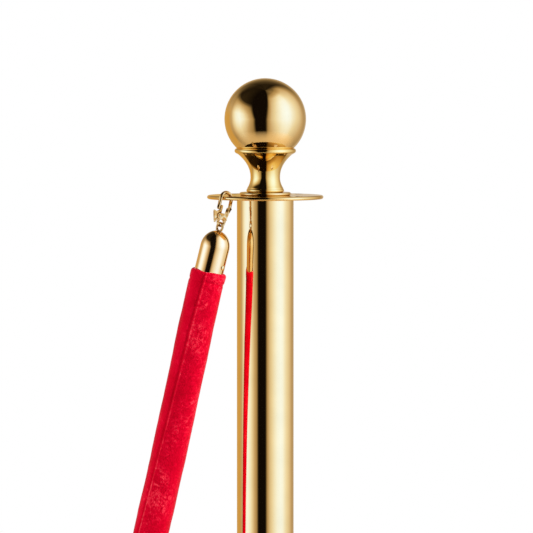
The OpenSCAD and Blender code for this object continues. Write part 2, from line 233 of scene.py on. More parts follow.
def cast(name, cad_name, matrix, voxel, smoothing):
    """A casting with soft edges, made from a CAD node in the frame of the matrix."""
    mesh = NODES[cad_name].data.copy()
    mesh.materials.clear()
    mesh.transform(matrix.inverted())
    piece = link(name, mesh)
    remesh = piece.modifiers.new("remesh", "REMESH")
    remesh.mode = "VOXEL"
    remesh.voxel_size = voxel
    smooth = piece.modifiers.new("smooth", "SMOOTH")
    smooth.factor = 0.5
    smooth.iterations = smoothing
    settled(piece)
    piece.data.transform(matrix)
    piece.data.shade_smooth()
    return piece


# ---- material tools ----

def node(tree, kind, inputs=None, **settings):
    """A shader node. Each input is a value or the socket that feeds it."""
    made = tree.nodes.new(kind)
    for name, value in settings.items():
        setattr(made, name, value)
    for name, value in (inputs or {}).items():
        if isinstance(value, bpy.types.NodeSocket):
            tree.links.new(value, made.inputs[name])
        else:
            made.inputs[name].default_value = value
    return made


def math_node(tree, operation, first, second=0.0):
    return node(tree, "ShaderNodeMath", {0: first, 1: second}, operation=operation).outputs[0]


def surface(name, values):
    """A material whose Principled shader has these values, with its tree and shader."""
    made = bpy.data.materials.new(name)
    made.use_nodes = True
    tree = made.node_tree
    shader = tree.nodes["Principled BSDF"]
    for socket, value in values.items():
        shader.inputs[socket].default_value = value
    return made, tree, shader


def place(tree, stretch=(1, 1, 1)):
    """The piece's own coordinates, in metres, stretched along each axis."""
    own = node(tree, "ShaderNodeTexCoord").outputs["Object"]
    return node(tree, "ShaderNodeMapping", {"Vector": own, "Scale": stretch}).outputs[0]


def grain(tree, where, scale, detail=3.0, roughness=0.5, distortion=0.0):
    """Noise from 0 to 1, which gets finer with its scale."""
    values = {
        "Vector": where, "Scale": scale, "Detail": detail,
        "Roughness": roughness, "Distortion": distortion,
    }
    return node(tree, "ShaderNodeTexNoise", values).outputs["Fac"]


def ranged(tree, value, low, high, to_low, to_high):
    """The value, carried over from the range low to high to the range to_low to to_high."""
    values = {"Value": value, "From Min": low, "From Max": high, "To Min": to_low, "To Max": to_high}
    return node(tree, "ShaderNodeMapRange", values).outputs[0]


def tint(tree, value, stops):
    """A colour ramp from stops of (position, colour)."""
    ramp = node(tree, "ShaderNodeValToRGB", {"Fac": value})
    while len(ramp.color_ramp.elements) < len(stops):
        ramp.color_ramp.elements.new(0.5)
    for element, (position, colour) in zip(ramp.color_ramp.elements, stops):
        element.position = position
        element.color = (*colour, 1)
    return ramp.outputs["Color"]


def bump(tree, shader, height, distance, strength=1.0):
    values = {"Height": height, "Distance": distance, "Strength": strength}
    tree.links.new(node(tree, "ShaderNodeBump", values).outputs["Normal"], shader.inputs["Normal"])


PATCH_SCALE = 45
SCRATCH_SCALE = 2600
SCRATCH_STRETCH = (1, 1, 0.04)
PATCH_DULLNESS = 0.93


def metal(name, colour, gloss, wear, ripple, ripple_scale=60):
    """Polished metal: gloss is its roughness, wear the added roughness in patches, ripple its waviness."""
    made, tree, shader = surface(name, {"Metallic": 1.0, "Base Color": (*colour, 1)})
    where = place(tree)
    patches = grain(tree, where, PATCH_SCALE, 4)
    scratches = grain(tree, place(tree, SCRATCH_STRETCH), SCRATCH_SCALE, 2)
    rough = ranged(tree, patches, 0.4, 0.75, gloss, gloss + wear)
    fine = ranged(tree, scratches, 0.6, 0.8, 0, wear)
    tree.links.new(math_node(tree, "ADD", rough, fine), shader.inputs["Roughness"])
    dull = tuple(PATCH_DULLNESS * c for c in colour)
    tree.links.new(tint(tree, patches, [(0.35, colour), (0.8, dull)]), shader.inputs["Base Color"])
    bump(tree, shader, grain(tree, where, ripple_scale, 0), ripple)
    return made


# ---- materials ----

# Five golds, each matched to the photo under this light
GOLD = metal("polished_gold", (0.94, 0.69, 0.32), gloss=0.03, wear=0.02, ripple=0.000004)
NECK_GOLD = metal("neck_gold", (0.98, 0.71, 0.27), gloss=0.03, wear=0.02, ripple=0.000004)
PLATE_GOLD = metal("plate_gold", (0.94, 0.65, 0.25), gloss=0.04, wear=0.03, ripple=0.000004)
CAP_GOLD = metal("cap_gold", (1.0, 0.73, 0.38), gloss=0.08, wear=0.04, ripple=0.000004)
HOOK_GOLD = metal("hook_gold", (0.78, 0.51, 0.20), gloss=0.08, wear=0.1, ripple=0.005, ripple_scale=130)
PIN_STEEL = metal("plated_pin", (0.62, 0.44, 0.20), gloss=0.2, wear=0.12, ripple=0.0001)
STEEL = metal("zinc_steel", (0.58, 0.52, 0.40), gloss=0.22, wear=0.15, ripple=0.00003)


def iron():
    """Cast iron under a thin dark paint, with the pits of a sand mould."""
    made, tree, shader = surface("cast_iron", {"Metallic": 0.4, "Roughness": 0.62})
    pits = grain(tree, place(tree), 420, 6, 0.65)
    stops = [(0.3, (0.035, 0.035, 0.038)), (0.7, (0.085, 0.083, 0.082))]
    tree.links.new(tint(tree, pits, stops), shader.inputs["Base Color"])
    bump(tree, shader, pits, 0.0006)
    return made


def rubber():
    """Black moulded rubber with a fine dusty grain."""
    made, tree, shader = surface("rubber", {"Specular IOR Level": 0.35})
    specks = grain(tree, place(tree), 900, 3)
    stops = [(0.3, (0.012, 0.012, 0.013)), (0.8, (0.04, 0.04, 0.042))]
    tree.links.new(tint(tree, specks, stops), shader.inputs["Base Color"])
    tree.links.new(ranged(tree, specks, 0.3, 0.8, 0.6, 0.85), shader.inputs["Roughness"])
    bump(tree, shader, specks, 0.0001)
    return made


def wood():
    """Turned beech, with its grain along the cap."""
    made, tree, shader = surface("beech", {"Roughness": 0.55})
    lines = grain(tree, place(tree, (1, 1, 0.08)), 500, 5, 0.6, 0.4)
    stops = [(0.35, (0.42, 0.25, 0.12)), (0.7, (0.66, 0.46, 0.27))]
    tree.links.new(tint(tree, lines, stops), shader.inputs["Base Color"])
    bump(tree, shader, lines, 0.0001)
    return made


def cotton():
    """Unbleached cotton of the filling, which the sleeve and the caps hide."""
    made, tree, shader = surface("cotton", {"Roughness": 0.9, "Sheen Weight": 0.3})
    fibres = grain(tree, place(tree), 1500, 4, 0.7)
    stops = [(0.3, (0.62, 0.57, 0.47)), (0.7, (0.86, 0.83, 0.75))]
    tree.links.new(tint(tree, fibres, stops), shader.inputs["Base Color"])
    bump(tree, shader, fibres, 0.0003)
    return made


def velvet():
    """Crushed velvet: the pile turns in small patches, most of all on one side of the seam."""
    made, tree, shader = surface("velvet", {
        "Roughness": 0.9, "Specular IOR Level": 0.04, "Sheen Weight": 1.0,
        "Sheen Roughness": 0.28, "Sheen Tint": (1.0, 0.36, 0.38, 1),
    })
    where = node(tree, "ShaderNodeAttribute", attribute_name="along_rope").outputs["Vector"]
    marks = node(tree, "ShaderNodeAttribute", attribute_name="seam_marks").outputs["Vector"]
    line, shade_side, crushed = node(tree, "ShaderNodeSeparateXYZ", {0: marks}).outputs
    broad = grain(tree, where, 42, 3, 0.5)
    patches = grain(tree, where, 185, 5, 0.62, 2.0)
    fine = grain(tree, where, 900, 3, 0.6, 0.8)
    crush_broad = ranged(tree, broad, 0.38, 0.62, 0.4, 0.95)
    crush_side = ranged(tree, crushed, 0.0, 0.6, 0.4, 1.1)
    crush = math_node(tree, "MULTIPLY", crush_broad, crush_side)
    # How the pile lies: low where it turns away and is dark, high where it turns up and is pale
    large_part = math_node(tree, "MULTIPLY", patches, 0.7)
    small_part = math_node(tree, "MULTIPLY", fine, 0.3)
    turn = math_node(tree, "SUBTRACT", math_node(tree, "ADD", large_part, small_part), 0.5)
    lie = math_node(tree, "MULTIPLY", turn, math_node(tree, "MULTIPLY", crush, 1.5))
    lie = math_node(tree, "ADD", lie, ranged(tree, broad, 0.3, 0.7, 0.37, 0.53))
    # Painted light along the seam: painted shade on its sunk side, and a painted highlight in patches on its
    # raised line
    lie = math_node(tree, "SUBTRACT", lie, math_node(tree, "MULTIPLY", shade_side, 0.1))
    seam_highlight = math_node(tree, "MULTIPLY", patches, 0.34)
    lie = math_node(tree, "ADD", lie, math_node(tree, "MULTIPLY", line, seam_highlight))
    stops = [
        (0.2, (0.32, 0.0, 0.006)), (0.42, (0.52, 0.0, 0.014)),
        (0.52, (0.62, 0.001, 0.022)), (0.76, (0.94, 0.06, 0.09)),
    ]
    tree.links.new(tint(tree, lie, stops), shader.inputs["Base Color"])
    pile = grain(tree, where, 3400, 3)
    height = math_node(tree, "ADD", lie, math_node(tree, "MULTIPLY", pile, 0.3))
    bump(tree, shader, height, 0.001, 0.5)
    return made


VELVET = velvet()
COTTON = cotton()


def dress(piece, material, slot, body, *stands_for):
    """Gives a piece its material and body, and hides the CAD nodes that it stands for. The slot is not used."""
    piece.data.materials.clear()
    piece.data.materials.append(material)
    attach(piece, body)
    if stands_for:
        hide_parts(*stands_for)
    return piece


# ---- rope ----

HANGING_ROUTE = [
    (-0.0505, -0.0369, 0.7926), (-0.055, -0.0364, 0.774), (-0.0605, -0.033, 0.75),
    (-0.071, -0.025, 0.7), (-0.0818, -0.0175, 0.65), (-0.0928, -0.011, 0.6),
    (-0.1042, -0.0055, 0.55), (-0.116, -0.0005, 0.5), (-0.1285, 0.004, 0.45),
    (-0.141, 0.0085, 0.4), (-0.1535, 0.0135, 0.35), (-0.1655, 0.0195, 0.3),
    (-0.1765, 0.0265, 0.25), (-0.186, 0.0345, 0.2), (-0.1935, 0.0435, 0.15),
    (-0.198, 0.053, 0.11), (-0.1985, 0.062, 0.082), (-0.1945, 0.074, 0.058),
    (-0.1865, 0.09, 0.0385), (-0.175, 0.1095, 0.0245), (-0.16, 0.13, 0.0175),
]
LYING_ROUTE = [
    (-0.142, 0.1495, 0.016), (-0.1215, 0.167, 0.016), (-0.0975, 0.182, 0.016),
    (-0.071, 0.1935, 0.016), (-0.042, 0.201, 0.016), (-0.012, 0.2045, 0.016),
    (0.018, 0.2035, 0.016), (0.048, 0.198, 0.016), (0.077, 0.188, 0.016),
    (0.1045, 0.1735, 0.016), (0.1295, 0.155, 0.016), (0.1515, 0.1325, 0.016),
    (0.17, 0.1075, 0.016), (0.184, 0.0805, 0.016), (0.1935, 0.0525, 0.016),
    (0.1985, 0.026, 0.016), (0.2, 0.0, 0.016),
]
ROPE_RADIUS = 15.7 * MM
LINING_RADIUS = 13.15 * MM
FILLING_RADIUS = 12.9 * MM
ROPE_STEP = 2.5 * MM
HEM_REACH = 1.5 * MM
HEM_LIP = 2.8 * MM
HEM_LENGTH = 9.5 * MM
HEM_THICKNESS = 0.3 * MM
HEM_WAVE = 0.55 * MM
HEM_WAVE_LENGTH = 8 * MM
STITCH_DEPTH = 0.45 * MM
PLEAT_DEPTH = 0.25 * MM
PLEAT_LENGTH = 9 * MM
LUMP_DEPTH = 0.38 * MM
SMALL_LUMP_DEPTH = 0.16 * MM
SEAM_RIDGE = 0.35 * MM
SEAM_SINK = 0.5 * MM
SEAM_START = math.radians(5)
# The seam turns by this angle in each metre of rope
SEAM_TURN = math.radians(150)
ROPE_SIDES = 84
ROUTE_STEPS = 16
LINING_RINGS = 50
FILLING_SIDES = 24
FILLING_STEP = 6 * MM
FILLING_TWIST = 60
STRAND_DEPTH = 0.06


def smooth_route():
    """The rope's centreline through the route's points, with the slopes that the CAD tube has."""
    points = [Vector(p) for p in HANGING_ROUTE + LYING_ROUTE]
    last = len(points) - 1
    slopes = [(points[min(i + 1, last)] - points[max(i - 1, 0)]) / 2 for i in range(last + 1)]
    slopes[0] = -joint_axis("eye_a_swivel") * (points[1] - points[0]).length
    slopes[last] = joint_axis("eye_b_swivel") * (points[last] - points[last - 1]).length
    line = []
    for i in range(last):
        for k in range(ROUTE_STEPS):
            t = k / ROUTE_STEPS
            line.append(
                (2 * t**3 - 3 * t**2 + 1) * points[i] + (t**3 - 2 * t**2 + t) * slopes[i]
                + (3 * t**2 - 2 * t**3) * points[i + 1] + (t**3 - t**2) * slopes[i + 1]
            )
    return line + [points[last]]


ROUTE = smooth_route()
REACHED = [0.0]
for here, there in zip(ROUTE, ROUTE[1:]):
    REACHED.append(REACHED[-1] + (there - here).length)
ROPE_LENGTH = REACHED[-1]


def along_route(distances):
    """Centre, direction and an untwisted side vector of the rope at each distance, in rising order."""
    frames = []
    side = Vector((0, -1, 0))
    i = 0
    for s in distances:
        while i < len(ROUTE) - 2 and REACHED[i + 1] < s:
            i += 1
        t = (s - REACHED[i]) / (REACHED[i + 1] - REACHED[i])
        centre = ROUTE[i].lerp(ROUTE[i + 1], t)
        here = (ROUTE[i + 1] - ROUTE[max(i - 1, 0)]).normalized()
        there = (ROUTE[min(i + 2, len(ROUTE) - 1)] - ROUTE[i]).normalized()
        along = here.lerp(there, min(max(t, 0), 1)).normalized()
        side = (side - side.dot(along) * along).normalized()
        frames.append((centre, along, side.copy()))
    return frames


def seam_angle(s):
    return SEAM_START + SEAM_TURN * s


def bell(x, width):
    return math.exp(-((x / width) ** 2))


def from_seam(s, angle):
    """Distance round the rope from the seam."""
    return math.remainder(angle - seam_angle(s), 2 * math.pi) * ROPE_RADIUS


def hem_wave(s, angle):
    """How far the edge of a hem wanders along the rope."""
    fade = max(1 - (min(s, ROPE_LENGTH - s) + HEM_REACH) / HEM_WAVE_LENGTH, 0)
    return HEM_WAVE * fade * (math.sin(2 * angle + 1.2) + 0.5 * math.sin(5 * angle))


def sleeve_radius(s, angle):
    """Outer radius of the sleeve: soft lumps, the sunk seam, and a turned hem at each end."""
    from_end = min(s, ROPE_LENGTH - s) + HEM_REACH
    round_lip = min(max(from_end, 0) / HEM_LIP, 1)
    where = Vector((math.cos(angle), math.sin(angle), s * 30))
    lumps = LUMP_DEPTH * noise.noise(where * 1.3) + SMALL_LUMP_DEPTH * noise.noise(where * 4.1)
    off_seam = from_seam(s, angle)
    ridge = SEAM_RIDGE * bell(off_seam, 0.8 * MM)
    seam = ridge - SEAM_SINK * bell(off_seam - 1.9 * MM, 1.2 * MM)
    hem = HEM_THICKNESS * (1 - min(from_end / HEM_LENGTH, 1) ** 4)
    stitch = -STITCH_DEPTH * bell(from_end - HEM_LENGTH, 1.1 * MM)
    folds = math.sin(7 * angle + 2 * math.sin(2 * angle))
    pleats = PLEAT_DEPTH * math.exp(-from_end / PLEAT_LENGTH) * folds
    full = ROPE_RADIUS + lumps + seam + hem + stitch + pleats
    return LINING_RADIUS + (full - LINING_RADIUS) * math.sqrt(1 - (1 - round_lip) ** 2)


def sleeve_distances():
    """Distances of the sleeve's rings: close together in the hems, even between them."""
    hem = [HEM_LIP * (1 - math.cos(math.radians(a))) for a in range(0, 90, 15)]
    step = 0.9 * MM
    while hem[-1] < HEM_LENGTH + 4 * MM:
        hem.append(max(hem[-1], HEM_LIP) + step)
    start = [s - HEM_REACH for s in hem]
    end = [ROPE_LENGTH - s for s in reversed(start)]
    count = round((end[0] - start[-1]) / ROPE_STEP)
    middle = [start[-1] + (end[0] - start[-1]) * k / count for k in range(1, count)]
    return start + middle + end


def ring_angles(s):
    """Angles round the rope, closer together beside the seam."""
    angles = []
    for k in range(ROPE_SIDES):
        t = 2 * k / ROPE_SIDES - 1
        angles.append(seam_angle(s) + math.pi * (0.3 * t + 0.7 * t**3))
    return angles


def sleeve():
    """The velvet sleeve: its outside with hems and seam, and a plain lining, as one closed tube."""
    outer = sleeve_distances()
    reach = outer[0] - outer[-1]
    lining = [outer[-1] + reach * k / LINING_RINGS for k in range(1, LINING_RINGS)]
    vertices, straight, marks = [], [], []
    for distances, inside in ((outer, False), (sorted(lining), True)):
        rows = []
        for s, (centre, along, side) in zip(distances, along_route(distances)):
            across = along.cross(side)
            row = []
            for angle in ring_angles(s):
                r = LINING_RADIUS if inside else sleeve_radius(s, angle)
                out = math.cos(angle) * side + math.sin(angle) * across
                off = from_seam(s, angle)
                # Masks for painted light on the seam: a painted highlight on its raised line and painted shade on
                # its sunk side
                seam_line = bell(off, 0.6 * MM)
                shade_side = bell(off - 1.8 * MM, 1.5 * MM)
                crushed_side = bell(off + 15 * MM, 13 * MM)
                point = centre + r * out + hem_wave(s, angle) * along
                flat = (r * math.cos(angle), r * math.sin(angle), s)
                row.append((point, flat, (seam_line, shade_side, crushed_side)))
            rows.append(row)
        if inside:
            rows.reverse()
        for row in rows:
            for point, flat, mark in row:
                vertices.append(point)
                straight.append(flat)
                marks.append(mark)
    count = len(vertices) // ROPE_SIDES
    faces = []
    for i in range(count):
        low, high = i * ROPE_SIDES, (i + 1) % count * ROPE_SIDES
        for k in range(ROPE_SIDES):
            m = (k + 1) % ROPE_SIDES
            faces.append((low + k, low + m, high + m, high + k))
    mesh = bpy.data.meshes.new("velvet_sleeve")
    mesh.from_pydata(vertices, [], faces)
    for name, values in (("along_rope", straight), ("seam_marks", marks)):
        stored = mesh.attributes.new(name, "FLOAT_VECTOR", "POINT")
        for item, value in zip(stored.data, values):
            item.vector = value
    mesh.shade_smooth()
    return link("velvet_sleeve", mesh)


def filling():
    """The cotton filling: three strands twisted together."""
    count = round(ROPE_LENGTH / FILLING_STEP)
    distances = [ROPE_LENGTH * k / count for k in range(count + 1)]
    sides = FILLING_SIDES
    vertices = []
    for s, (centre, along, side) in zip(distances, along_route(distances)):
        across = along.cross(side)
        for k in range(sides):
            a = 2 * math.pi * k / sides
            strands = math.cos(3 * (a - FILLING_TWIST * s))
            r = FILLING_RADIUS * (0.94 + STRAND_DEPTH * strands)
            vertices.append(centre + r * (math.cos(a) * side + math.sin(a) * across))
    faces = [tuple(range(sides)), tuple(count * sides + sides - 1 - k for k in range(sides))]
    for i in range(count):
        for k in range(sides):
            m = (k + 1) % sides
            faces.append((i * sides + k, (i + 1) * sides + k, (i + 1) * sides + m, i * sides + m))
    mesh = bpy.data.meshes.new("cotton_filling")
    mesh.from_pydata(vertices, [], faces)
    mesh.shade_smooth()
    return link("cotton_filling", mesh)


rope = dress(sleeve(), VELVET, "velvet", "post", "rope_sleeve")
core = dress(filling(), COTTON, "cotton", "post", "rope_filling")


# ---- end caps, eyes and hooks ----

CAP_RADIUS = 13 * MM
CAP_WALL = 1 * MM
CAP_LENGTH = (joint_point("eye_b_swivel") - ROUTE[-1]).length
DOME_HEIGHT = 15 * MM
DOME_END = 84
DOME_STEPS = 28
EYE_HOLE_RADIUS = 1.6 * MM


def dome_curve(radius, height, top):
    """Outline of a dome from its shoulder up to the hole in its top."""
    highest = math.sin(math.radians(DOME_END))
    curve = []
    for k in range(DOME_STEPS + 1):
        a = math.radians(DOME_END * k / DOME_STEPS)
        r, z = radius * math.cos(a), top + height * (math.sin(a) - highest)
        if r > EYE_HOLE_RADIUS:
            curve.append((r, z))
    return curve + [(EYE_HOLE_RADIUS, curve[-1][1] + 0.02 * MM)]


def end_cap(end):
    outside = dome_curve(CAP_RADIUS, DOME_HEIGHT, 0)
    inside = dome_curve(CAP_RADIUS - CAP_WALL, DOME_HEIGHT - CAP_WALL, -CAP_WALL)
    foot = arc(CAP_RADIUS - CAP_WALL / 2, CAP_WALL / 2 - CAP_LENGTH, CAP_WALL / 2, -180, 0, 8)
    outline = foot + outside + inside[::-1]
    piece = lathe(f"end_cap_{end}_polished", outline, 128, CAP[end])
    return dress(piece, CAP_GOLD, "polished_gold", "post", f"end_cap_{end}")


def cap_screw(end):
    piece = cast(f"cap_screw_{end}_domed", f"cap_screw_{end}", CAP[end], voxel=0.1 * MM, smoothing=3)
    return dress(piece, GOLD, "polished_gold", "post", f"cap_screw_{end}")


def swivel_eye(end):
    piece = cast(f"swivel_eye_{end}_cast", f"swivel_eye_{end}", CAP[end], voxel=0.14 * MM, smoothing=6)
    return dress(piece, HOOK_GOLD, "hook_gold", f"eye_{end}", f"swivel_eye_{end}")


def snap_hook(end):
    piece = cast(f"snap_hook_{end}_cast", f"snap_hook_{end}", HOOK[end], voxel=0.16 * MM, smoothing=24)
    return dress(piece, HOOK_GOLD, "hook_gold", f"hook_{end}", f"snap_hook_{end}")


def hook_gate(end):
    piece = cast(f"hook_gate_{end}_cast", f"hook_gate_{end}", HOOK[end], voxel=0.12 * MM, smoothing=16)
    return dress(piece, HOOK_GOLD, "hook_gold", f"gate_{end}", f"hook_gate_{end}")


def gate_pin(end):
    piece = cast(f"gate_pin_{end}_riveted", f"gate_pin_{end}", HOOK[end], voxel=0.09 * MM, smoothing=3)
    return dress(piece, PIN_STEEL, "steel", f"hook_{end}", f"gate_pin_{end}")


# The gate's spring in the hook's frame: where it starts and ends along X, and its height along Z
SPRING_FROM = -3.4 * MM
SPRING_TO = 2.28 * MM
SPRING_RISE = 6.1 * MM
SPRING_RADIUS = 0.62 * MM
SPRING_WIRE = 0.16 * MM
SPRING_TURNS = 7


def gate_spring(end):
    """A compression spring with closer turns at its ends."""
    steps, sides = 24 * SPRING_TURNS, 8
    length = SPRING_TO - SPRING_FROM - 2 * SPRING_WIRE
    vertices = []
    for i in range(steps + 1):
        t = i / steps
        turn = 2 * math.pi * SPRING_TURNS * t
        x = SPRING_FROM + SPRING_WIRE + length * (t - 0.05 * math.sin(2 * math.pi * t))
        for k in range(sides):
            a = 2 * math.pi * k / sides
            r = SPRING_RADIUS + SPRING_WIRE * math.cos(a)
            across = r * math.cos(turn)
            up = SPRING_RISE + r * math.sin(turn)
            vertices.append((x + SPRING_WIRE * math.sin(a), across, up))
    faces = [tuple(range(sides)), tuple(range(steps * sides, (steps + 1) * sides))]
    for i in range(steps):
        for k in range(sides):
            m = (k + 1) % sides
            low, high = i * sides, (i + 1) * sides
            faces.append((low + k, low + m, high + m, high + k))
    mesh = bpy.data.meshes.new(f"gate_spring_{end}_coil")
    mesh.from_pydata(vertices, [], faces)
    coil = bmesh.new()
    coil.from_mesh(mesh)
    bmesh.ops.recalc_face_normals(coil, faces=coil.faces)
    coil.to_mesh(mesh)
    coil.free()
    shade(mesh)
    piece = link(f"gate_spring_{end}_coil", mesh, HOOK[end])
    dress(piece, STEEL, "steel", f"hook_{end}", f"gate_spring_{end}")
    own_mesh(piece)
    return piece


for end in "ab":
    for make in (end_cap, cap_screw, swivel_eye, snap_hook, hook_gate, gate_pin, gate_spring):
        make(end)


# ---- post ----

STUD_HOLE_RADIUS = 5.3 * MM
NECK_BORE_RADIUS = 5.1 * MM


def turned(node_name, name, outline, sides, material=GOLD, slot="polished_gold", body="post"):
    piece = lathe(name, outline, sides)
    return dress(piece, material, slot, body, node_name)


def post_tube():
    low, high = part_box("post_tube")
    wall, edge = 1 * MM, 0.3 * MM
    corners = [
        (high.x - wall, low.z, edge), (high.x, low.z, edge),
        (high.x, high.z, edge), (high.x - wall, high.z, edge),
    ]
    turned("post_tube", "post_tube_polished", rounded(corners), 192)


def seat_washer():
    low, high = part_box("seat_washer")
    half = (high.z - low.z) / 2
    rim = arc(high.x - half, low.z + half, half, -90, 90, 14)
    outline = [(STUD_HOLE_RADIUS, low.z)] + rim + [(STUD_HOLE_RADIUS, high.z)]
    turned("seat_washer", "seat_washer_polished", outline, 160, body="seat")


def rope_plate():
    """A disc with a full round edge and four holes with softened edges."""
    low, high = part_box("rope_plate")
    half = (high.z - low.z) / 2
    middle = (high.z + low.z) / 2
    mount = MOUNTS["rope_hole_front_right"]
    hole = mount["dims"]["r_mm"] * MM
    ring = Vector(mount["pos_m"][:2]).length
    soft = 0.4 * MM
    plate = bmesh.new()

    def circle(cx, cy, r, z, count):
        angles = [2 * math.pi * k / count for k in range(count)]
        return [plate.verts.new((cx + r * math.cos(a), cy + r * math.sin(a), z)) for a in angles]

    def bridge(rows):
        for one, two in zip(rows, rows[1:]):
            for k in range(len(one)):
                m = (k + 1) % len(one)
                plate.faces.new((one[k], one[m], two[m], two[k]))

    walls = [(0, 0, STUD_HOLE_RADIUS, 48)]
    for k in range(4):
        a = math.radians(45 + 90 * k)
        walls.append((ring * math.cos(a), ring * math.sin(a), hole, 64))
    rims = []
    for cx, cy, r, count in walls:
        rows = []
        for side in (1, -1):
            for k in range(6) if side > 0 else range(5, -1, -1):
                t = math.radians(90 * k / 5)
                wall_r = r + soft * (1 - math.sin(t))
                wall_z = middle + side * (half - soft * (1 - math.cos(t)))
                rows.append(circle(cx, cy, wall_r, wall_z, count))
        bridge(rows)
        rims.append(rows)
    edge = [circle(0, 0, r, z, 256) for r, z in arc(high.x - half, middle, half, 90, -90, 20)]
    bridge(edge)
    rims.append(edge)
    for i in (0, -1):
        loops = []
        for rows in rims:
            row = rows[i]
            loops += [plate.edges.get((row[k], row[(k + 1) % len(row)])) for k in range(len(row))]
        bmesh.ops.triangle_fill(plate, use_beauty=True, edges=loops)
    bmesh.ops.recalc_face_normals(plate, faces=plate.faces)
    mesh = bpy.data.meshes.new("rope_plate_polished")
    plate.to_mesh(mesh)
    plate.free()
    shade(mesh)
    piece = link("rope_plate_polished", mesh)
    even_normals(piece)
    dress(piece, PLATE_GOLD, "polished_gold", "post", "rope_plate")


NECK_WAIST_R = 13.2 * MM
NECK_WAIST_Z = 13 * MM
NECK_LIP_Z = 37 * MM
NECK_FOOT_R = 16.9 * MM
LIP_BEAD_R = 2.3 * MM
FOOT_BEAD_R = 1.6 * MM


def neck_radius(z, lip):
    """Radius of the neck at height z: a cove under the waist, and a trumpet above it."""
    if z < NECK_WAIST_Z:
        rise = (NECK_WAIST_Z - z) / (NECK_WAIST_Z - 2.5 * MM)
        return NECK_WAIST_R + (NECK_FOOT_R - NECK_WAIST_R) * rise**2
    rise = (z - NECK_WAIST_Z) / (NECK_LIP_Z - 2 * MM - NECK_WAIST_Z)
    return NECK_WAIST_R + (lip - 2 * MM - NECK_WAIST_R) * rise**2.2


def finial_neck():
    """The turned neck: foot bead, waist and lip bead, with a seat for the ball on top."""
    low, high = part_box("finial_neck")
    ball_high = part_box("finial_ball")[1]
    ball_r = ball_high.x + 0.04 * MM
    ball_z = ball_high.z - ball_high.x
    lip = high.x
    bead_r = lip - LIP_BEAD_R
    outline = [(NECK_BORE_RADIUS, 0)]
    outline += arc(NECK_FOOT_R - FOOT_BEAD_R, FOOT_BEAD_R, FOOT_BEAD_R, -90, 50, 14)
    steps = 40
    first, last = 3.0 * MM, NECK_LIP_Z - 2.6 * MM
    for k in range(1, steps):
        z = first + (last - first) * k / steps
        outline.append((neck_radius(z, lip), z))
    outline += arc(bead_r, NECK_LIP_Z, LIP_BEAD_R, -62, 108, 20)
    centre = ball_z - low.z
    start = math.asin((bead_r - 0.8 * MM) / ball_r)
    for k in range(24):
        a = start + (math.asin(NECK_BORE_RADIUS / ball_r) - start) * k / 23
        outline.append((ball_r * math.sin(a), centre - ball_r * math.cos(a)))
    outline = [(r, z + low.z) for r, z in outline]
    turned("finial_neck", "finial_neck_polished", outline, 192, NECK_GOLD, body="finial")


def finial_ball():
    """The hollow ball, open at the bottom where the neck enters it."""
    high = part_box("finial_ball")[1]
    centre = high.z - high.x
    outline = arc(0, centre, high.x, 90, -82, 96)
    outline[0] = (0, outline[0][1])
    inner = arc(0, centre, high.x - 1 * MM, -82, 90, 40)
    inner[-1] = (0, inner[-1][1])
    turned("finial_ball", "finial_ball_polished", outline + inner, 192, body="finial")


# ---- base ----

COVER_SHOULDER = 11 * MM
COVER_STEPS = 60


def cover_curve(base_r, post_r, top, inset):
    """Outline of the domed cover from its shoulder up to the post."""
    rise, width = top - COVER_SHOULDER - inset, base_r - post_r - inset
    curve = []
    for k in range(COVER_STEPS + 1):
        a = math.radians(90 * k / COVER_STEPS)
        r = post_r + width * max(math.cos(a), 0) ** 0.9
        curve.append((r, COVER_SHOULDER + rise * math.sin(a) ** 1.25))
    return curve


def base_cover():
    low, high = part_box("base_cover")
    post_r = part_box("post_tube")[1].x
    wall = 1 * MM
    outer = cover_curve(high.x, post_r, high.z, 0)
    inner = cover_curve(high.x, post_r, high.z, wall)
    rim = arc(high.x - wall / 2, low.z + wall / 2, wall / 2, -180, 0, 8)
    bore = [(post_r + 0.3 * MM, high.z), (post_r + 0.3 * MM, high.z - wall)]
    outline = rim + outer[:-1] + bore + inner[-2::-1]
    turned("base_cover", "base_cover_polished", outline, 256)


def base_collar():
    low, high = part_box("base_collar")
    z, r = low.z, high.x
    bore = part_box("post_tube")[1].x + 0.05 * MM
    outline = [(bore, z), (r - 0.8 * MM, z)]
    outline += arc(r - 0.8 * MM, z + 0.8 * MM, 0.8 * MM, -90, 0, 6)
    outline += arc(r - 0.4 * MM, z + 2.8 * MM, 0.4 * MM, 0, 80, 4)
    outline += arc(r + 0.6 * MM, z + 6.4 * MM, 3.4 * MM, -112, -228, 20)
    outline += arc(r - 5 * MM, high.z - 3 * MM + 0.4 * MM, 2.6 * MM, 20, 90, 12)
    outline += [(bore + 1 * MM, high.z), (bore, high.z - 0.6 * MM)]
    turned("base_collar", "base_collar_polished", outline, 160)


def floor_ring():
    """The rubber ring under the rim, with grooves in the face that it stands on."""
    low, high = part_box("floor_ring")
    inner, outer = high.x - 20 * MM, high.x
    edge = 0.8 * MM
    corners = [(inner, high.z, edge), (inner, low.z, edge)]
    for k in range(4):
        middle = inner + (k + 1) * (outer - inner) / 5
        corners += [
            (middle - 1.1 * MM, low.z, 0.2 * MM), (middle - 0.8 * MM, low.z + 0.9 * MM, 0.2 * MM),
            (middle + 0.8 * MM, low.z + 0.9 * MM, 0.2 * MM), (middle + 1.1 * MM, low.z, 0.2 * MM),
        ]
    corners += [(outer, low.z, edge), (outer, high.z, edge)]
    turned("floor_ring", "floor_ring_grooved", rounded(corners, 4), 192, rubber(), "rubber")


for make in (
    post_tube, seat_washer, rope_plate, finial_neck,
    finial_ball, base_cover, base_collar, floor_ring,
):
    make()


# ---- CAD pieces that keep their shape ----

def keep(material, *names):
    for name in names:
        mesh = NODES[name].data
        mesh.materials.clear()
        mesh.materials.append(material)


